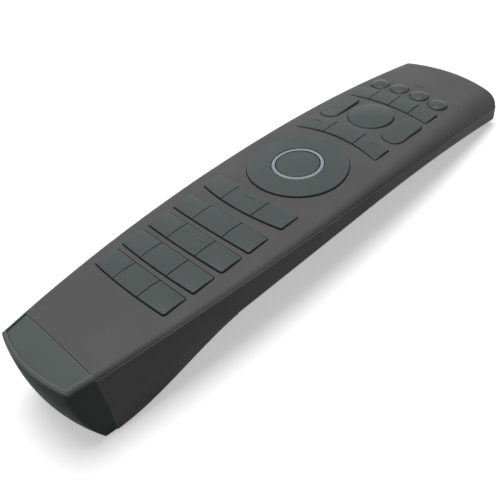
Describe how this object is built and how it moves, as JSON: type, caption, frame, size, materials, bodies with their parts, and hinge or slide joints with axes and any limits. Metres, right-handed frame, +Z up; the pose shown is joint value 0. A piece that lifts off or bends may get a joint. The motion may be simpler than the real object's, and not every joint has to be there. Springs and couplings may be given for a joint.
{
  "type": "projector remote control",
  "caption": "Slender infrared remote control with a tilting navigation disc, key rows, rocker keys and a deep battery heel under a slide-off end cap",
  "frame": {"origin": "bottom centre of the bounding box: the point of the table under the middle of the remote, which lies on its battery heel and on the keel of its infrared end", "axes": "+Y towards the infrared end, +Z up from the table, +X to the right with the infrared end pointing away; the key deck slopes down by about three degrees towards +Y"},
  "size_m": [0.0594, 0.2342, 0.0337],
  "materials": {
    "cover_grey": "fine matte texture",
    "cap_grey_green": "smooth satin",
    "key_grey_green": "soft satin",
    "light_guide": "milky satin",
    "dark_window": "polished, lets infrared light through",
    "board_green": "solder resist over glass-fibre laminate",
    "chip_black": "moulded epoxy",
    "mat_rubber": "matte",
    "emitter_blue": "clear tinted epoxy",
    "screw_steel": "zinc plated",
    "tray_black": "matte",
    "cell_jacket": "printed sleeve, satin",
    "contact_nickel": "nickel plated"
  },
  "bodies": {
    "housing": {"top_cover": "cover_grey", "bottom_cover": "cover_grey", "circuit_board": "board_green", "keypad_mat": "mat_rubber", "board_chips": "chip_black", "indicator_lens": "light_guide", "ir_window": "dark_window", "ir_emitters": "emitter_blue", "case_screws": "screw_steel"},
    "tray": {"battery_tray": "tray_black", "cell_left": "cell_jacket", "cell_right": "cell_jacket", "cell_springs": "contact_nickel", "cell_plates": "contact_nickel"},
    "cap": {"end_cap": "cap_grey_green"},
    "ring": {"light_ring": "light_guide"},
    "disc": {"nav_disc": "key_grey_green"},
    "rocker_left": {"rocker_left": "key_grey_green"},
    "rocker_right": {"rocker_right": "key_grey_green"},
    "key_row1_left": {"key_row1_left": "key_grey_green"},
    "key_row1_middle": {"key_row1_middle": "key_grey_green"},
    "key_row1_right": {"key_row1_right": "key_grey_green"},
    "key_row2_left": {"key_row2_left": "key_grey_green"},
    "key_row2_middle": {"key_row2_middle": "key_grey_green"},
    "key_row2_right": {"key_row2_right": "key_grey_green"},
    "key_row3_left": {"key_row3_left": "key_grey_green"},
    "key_row3_middle": {"key_row3_middle": "key_grey_green"},
    "key_row3_right": {"key_row3_right": "key_grey_green"},
    "key_row4_left": {"key_row4_left": "key_grey_green"},
    "key_row4_middle": {"key_row4_middle": "key_grey_green"},
    "key_row4_right": {"key_row4_right": "key_grey_green"},
    "key_row5_left": {"key_row5_left": "key_grey_green"},
    "key_row5_middle": {"key_row5_middle": "key_grey_green"},
    "key_row5_right": {"key_row5_right": "key_grey_green"},
    "key_row6_left": {"key_row6_left": "key_grey_green"},
    "key_row6_middle": {"key_row6_middle": "key_grey_green"},
    "key_row6_right": {"key_row6_right": "key_grey_green"},
    "key_row7_first": {"key_row7_first": "key_grey_green"},
    "key_row7_second": {"key_row7_second": "key_grey_green"},
    "key_row7_third": {"key_row7_third": "key_grey_green"},
    "key_row7_fourth": {"key_row7_fourth": "key_grey_green"},
    "centre_key": {"centre_key": "key_grey_green"},
    "select_key": {"select_key": "key_grey_green"},
    "round_key_1": {"round_key_1": "key_grey_green"},
    "round_key_2": {"round_key_2": "key_grey_green"},
    "round_key_3": {"round_key_3": "key_grey_green"},
    "round_key_4": {"round_key_4": "key_grey_green"}
  },
  "joints": [
    {"name": "tray_slide", "type": "slide", "parent": "housing", "child": "tray", "axis": [0, -0.9985, 0.0545], "range_m": [0, 0.06]},
    {"name": "cap_slide", "type": "slide", "parent": "tray", "child": "cap", "axis": [0, -0.9985, 0.0545], "range_m": [0, 0.025]},
    {"name": "disc_tilt_along", "type": "hinge", "parent": "housing", "child": "ring", "pos_m": [0, 0.00914, 0.02712], "axis": [1, 0, 0], "range_deg": [-2, 2], "stiffness_Nm_per_rad": 1},
    {"name": "disc_tilt_across", "type": "hinge", "parent": "ring", "child": "disc", "pos_m": [0, 0.00914, 0.02712], "axis": [0, 0.9985, -0.0545], "range_deg": [-2, 2], "stiffness_Nm_per_rad": 1},
    {"name": "rocker_left_rock", "type": "hinge", "parent": "housing", "child": "rocker_left", "pos_m": [-0.01635, 0.05377, 0.02468], "axis": [1, 0, 0], "range_deg": [-3, 3], "stiffness_Nm_per_rad": 0.3},
    {"name": "rocker_right_rock", "type": "hinge", "parent": "housing", "child": "rocker_right", "pos_m": [0.01635, 0.05377, 0.02468], "axis": [1, 0, 0], "range_deg": [-3, 3], "stiffness_Nm_per_rad": 0.3},
    {"name": "key_row1_left_press", "type": "slide", "parent": "housing", "child": "key_row1_left", "axis": [0, -0.0545, -0.9985], "range_m": [0, 0.0008], "stiffness_N_per_m": 300, "springref_m": -0.001},
    {"name": "key_row1_middle_press", "type": "slide", "parent": "housing", "child": "key_row1_middle", "axis": [0, -0.0545, -0.9985], "range_m": [0, 0.0008], "stiffness_N_per_m": 300, "springref_m": -0.001},
    {"name": "key_row1_right_press", "type": "slide", "parent": "housing", "child": "key_row1_right", "axis": [0, -0.0545, -0.9985], "range_m": [0, 0.0008], "stiffness_N_per_m": 300, "springref_m": -0.001},
    {"name": "key_row2_left_press", "type": "slide", "parent": "housing", "child": "key_row2_left", "axis": [0, -0.0545, -0.9985], "range_m": [0, 0.0008], "stiffness_N_per_m": 300, "springref_m": -0.001},
    {"name": "key_row2_middle_press", "type": "slide", "parent": "housing", "child": "key_row2_middle", "axis": [0, -0.0545, -0.9985], "range_m": [0, 0.0008], "stiffness_N_per_m": 300, "springref_m": -0.001},
    {"name": "key_row2_right_press", "type": "slide", "parent": "housing", "child": "key_row2_right", "axis": [0, -0.0545, -0.9985], "range_m": [0, 0.0008], "stiffness_N_per_m": 300, "springref_m": -0.001},
    {"name": "key_row3_left_press", "type": "slide", "parent": "housing", "child": "key_row3_left", "axis": [0, -0.0545, -0.9985], "range_m": [0, 0.0008], "stiffness_N_per_m": 300, "springref_m": -0.001},
    {"name": "key_row3_middle_press", "type": "slide", "parent": "housing", "child": "key_row3_middle", "axis": [0, -0.0545, -0.9985], "range_m": [0, 0.0008], "stiffness_N_per_m": 300, "springref_m": -0.001},
    {"name": "key_row3_right_press", "type": "slide", "parent": "housing", "child": "key_row3_right", "axis": [0, -0.0545, -0.9985], "range_m": [0, 0.0008], "stiffness_N_per_m": 300, "springref_m": -0.001},
    {"name": "key_row4_left_press", "type": "slide", "parent": "housing", "child": "key_row4_left", "axis": [0, -0.0545, -0.9985], "range_m": [0, 0.0008], "stiffness_N_per_m": 300, "springref_m": -0.001},
    {"name": "key_row4_middle_press", "type": "slide", "parent": "housing", "child": "key_row4_middle", "axis": [0, -0.0545, -0.9985], "range_m": [0, 0.0008], "stiffness_N_per_m": 300, "springref_m": -0.001},
    {"name": "key_row4_right_press", "type": "slide", "parent": "housing", "child": "key_row4_right", "axis": [0, -0.0545, -0.9985], "range_m": [0, 0.0008], "stiffness_N_per_m": 300, "springref_m": -0.001},
    {"name": "key_row5_left_press", "type": "slide", "parent": "housing", "child": "key_row5_left", "axis": [0, -0.0545, -0.9985], "range_m": [0, 0.0008], "stiffness_N_per_m": 300, "springref_m": -0.001},
    {"name": "key_row5_middle_press", "type": "slide", "parent": "housing", "child": "key_row5_middle", "axis": [0, -0.0545, -0.9985], "range_m": [0, 0.0008], "stiffness_N_per_m": 300, "springref_m": -0.001},
    {"name": "key_row5_right_press", "type": "slide", "parent": "housing", "child": "key_row5_right", "axis": [0, -0.0545, -0.9985], "range_m": [0, 0.0008], "stiffness_N_per_m": 300, "springref_m": -0.001},
    {"name": "key_row6_left_press", "type": "slide", "parent": "housing", "child": "key_row6_left", "axis": [0, -0.0545, -0.9985], "range_m": [0, 0.0008], "stiffness_N_per_m": 300, "springref_m": -0.001},
    {"name": "key_row6_middle_press", "type": "slide", "parent": "housing", "child": "key_row6_middle", "axis": [0, -0.0545, -0.9985], "range_m": [0, 0.0008], "stiffness_N_per_m": 300, "springref_m": -0.001},
    {"name": "key_row6_right_press", "type": "slide", "parent": "housing", "child": "key_row6_right", "axis": [0, -0.0545, -0.9985], "range_m": [0, 0.0008], "stiffness_N_per_m": 300, "springref_m": -0.001},
    {"name": "key_row7_first_press", "type": "slide", "parent": "housing", "child": "key_row7_first", "axis": [0, -0.0545, -0.9985], "range_m": [0, 0.0008], "stiffness_N_per_m": 300, "springref_m": -0.001},
    {"name": "key_row7_second_press", "type": "slide", "parent": "housing", "child": "key_row7_second", "axis": [0, -0.0545, -0.9985], "range_m": [0, 0.0008], "stiffness_N_per_m": 300, "springref_m": -0.001},
    {"name": "key_row7_third_press", "type": "slide", "parent": "housing", "child": "key_row7_third", "axis": [0, -0.0545, -0.9985], "range_m": [0, 0.0008], "stiffness_N_per_m": 300, "springref_m": -0.001},
    {"name": "key_row7_fourth_press", "type": "slide", "parent": "housing", "child": "key_row7_fourth", "axis": [0, -0.0545, -0.9985], "range_m": [0, 0.0008], "stiffness_N_per_m": 300, "springref_m": -0.001},
    {"name": "centre_key_press", "type": "slide", "parent": "housing", "child": "centre_key", "axis": [0, -0.0545, -0.9985], "range_m": [0, 0.0008], "stiffness_N_per_m": 300, "springref_m": -0.001},
    {"name": "select_key_press", "type": "slide", "parent": "housing", "child": "select_key", "axis": [0, -0.0545, -0.9985], "range_m": [0, 0.0008], "stiffness_N_per_m": 300, "springref_m": -0.001},
    {"name": "round_key_1_press", "type": "slide", "parent": "housing", "child": "round_key_1", "axis": [0, -0.0545, -0.9985], "range_m": [0, 0.0008], "stiffness_N_per_m": 300, "springref_m": -0.001},
    {"name": "round_key_2_press", "type": "slide", "parent": "housing", "child": "round_key_2", "axis": [0, -0.0545, -0.9985], "range_m": [0, 0.0008], "stiffness_N_per_m": 300, "springref_m": -0.001},
    {"name": "round_key_3_press", "type": "slide", "parent": "housing", "child": "round_key_3", "axis": [0, -0.0545, -0.9985], "range_m": [0, 0.0008], "stiffness_N_per_m": 300, "springref_m": -0.001},
    {"name": "round_key_4_press", "type": "slide", "parent": "housing", "child": "round_key_4", "axis": [0, -0.0545, -0.9985], "range_m": [0, 0.0008], "stiffness_N_per_m": 300, "springref_m": -0.001}
  ]
}
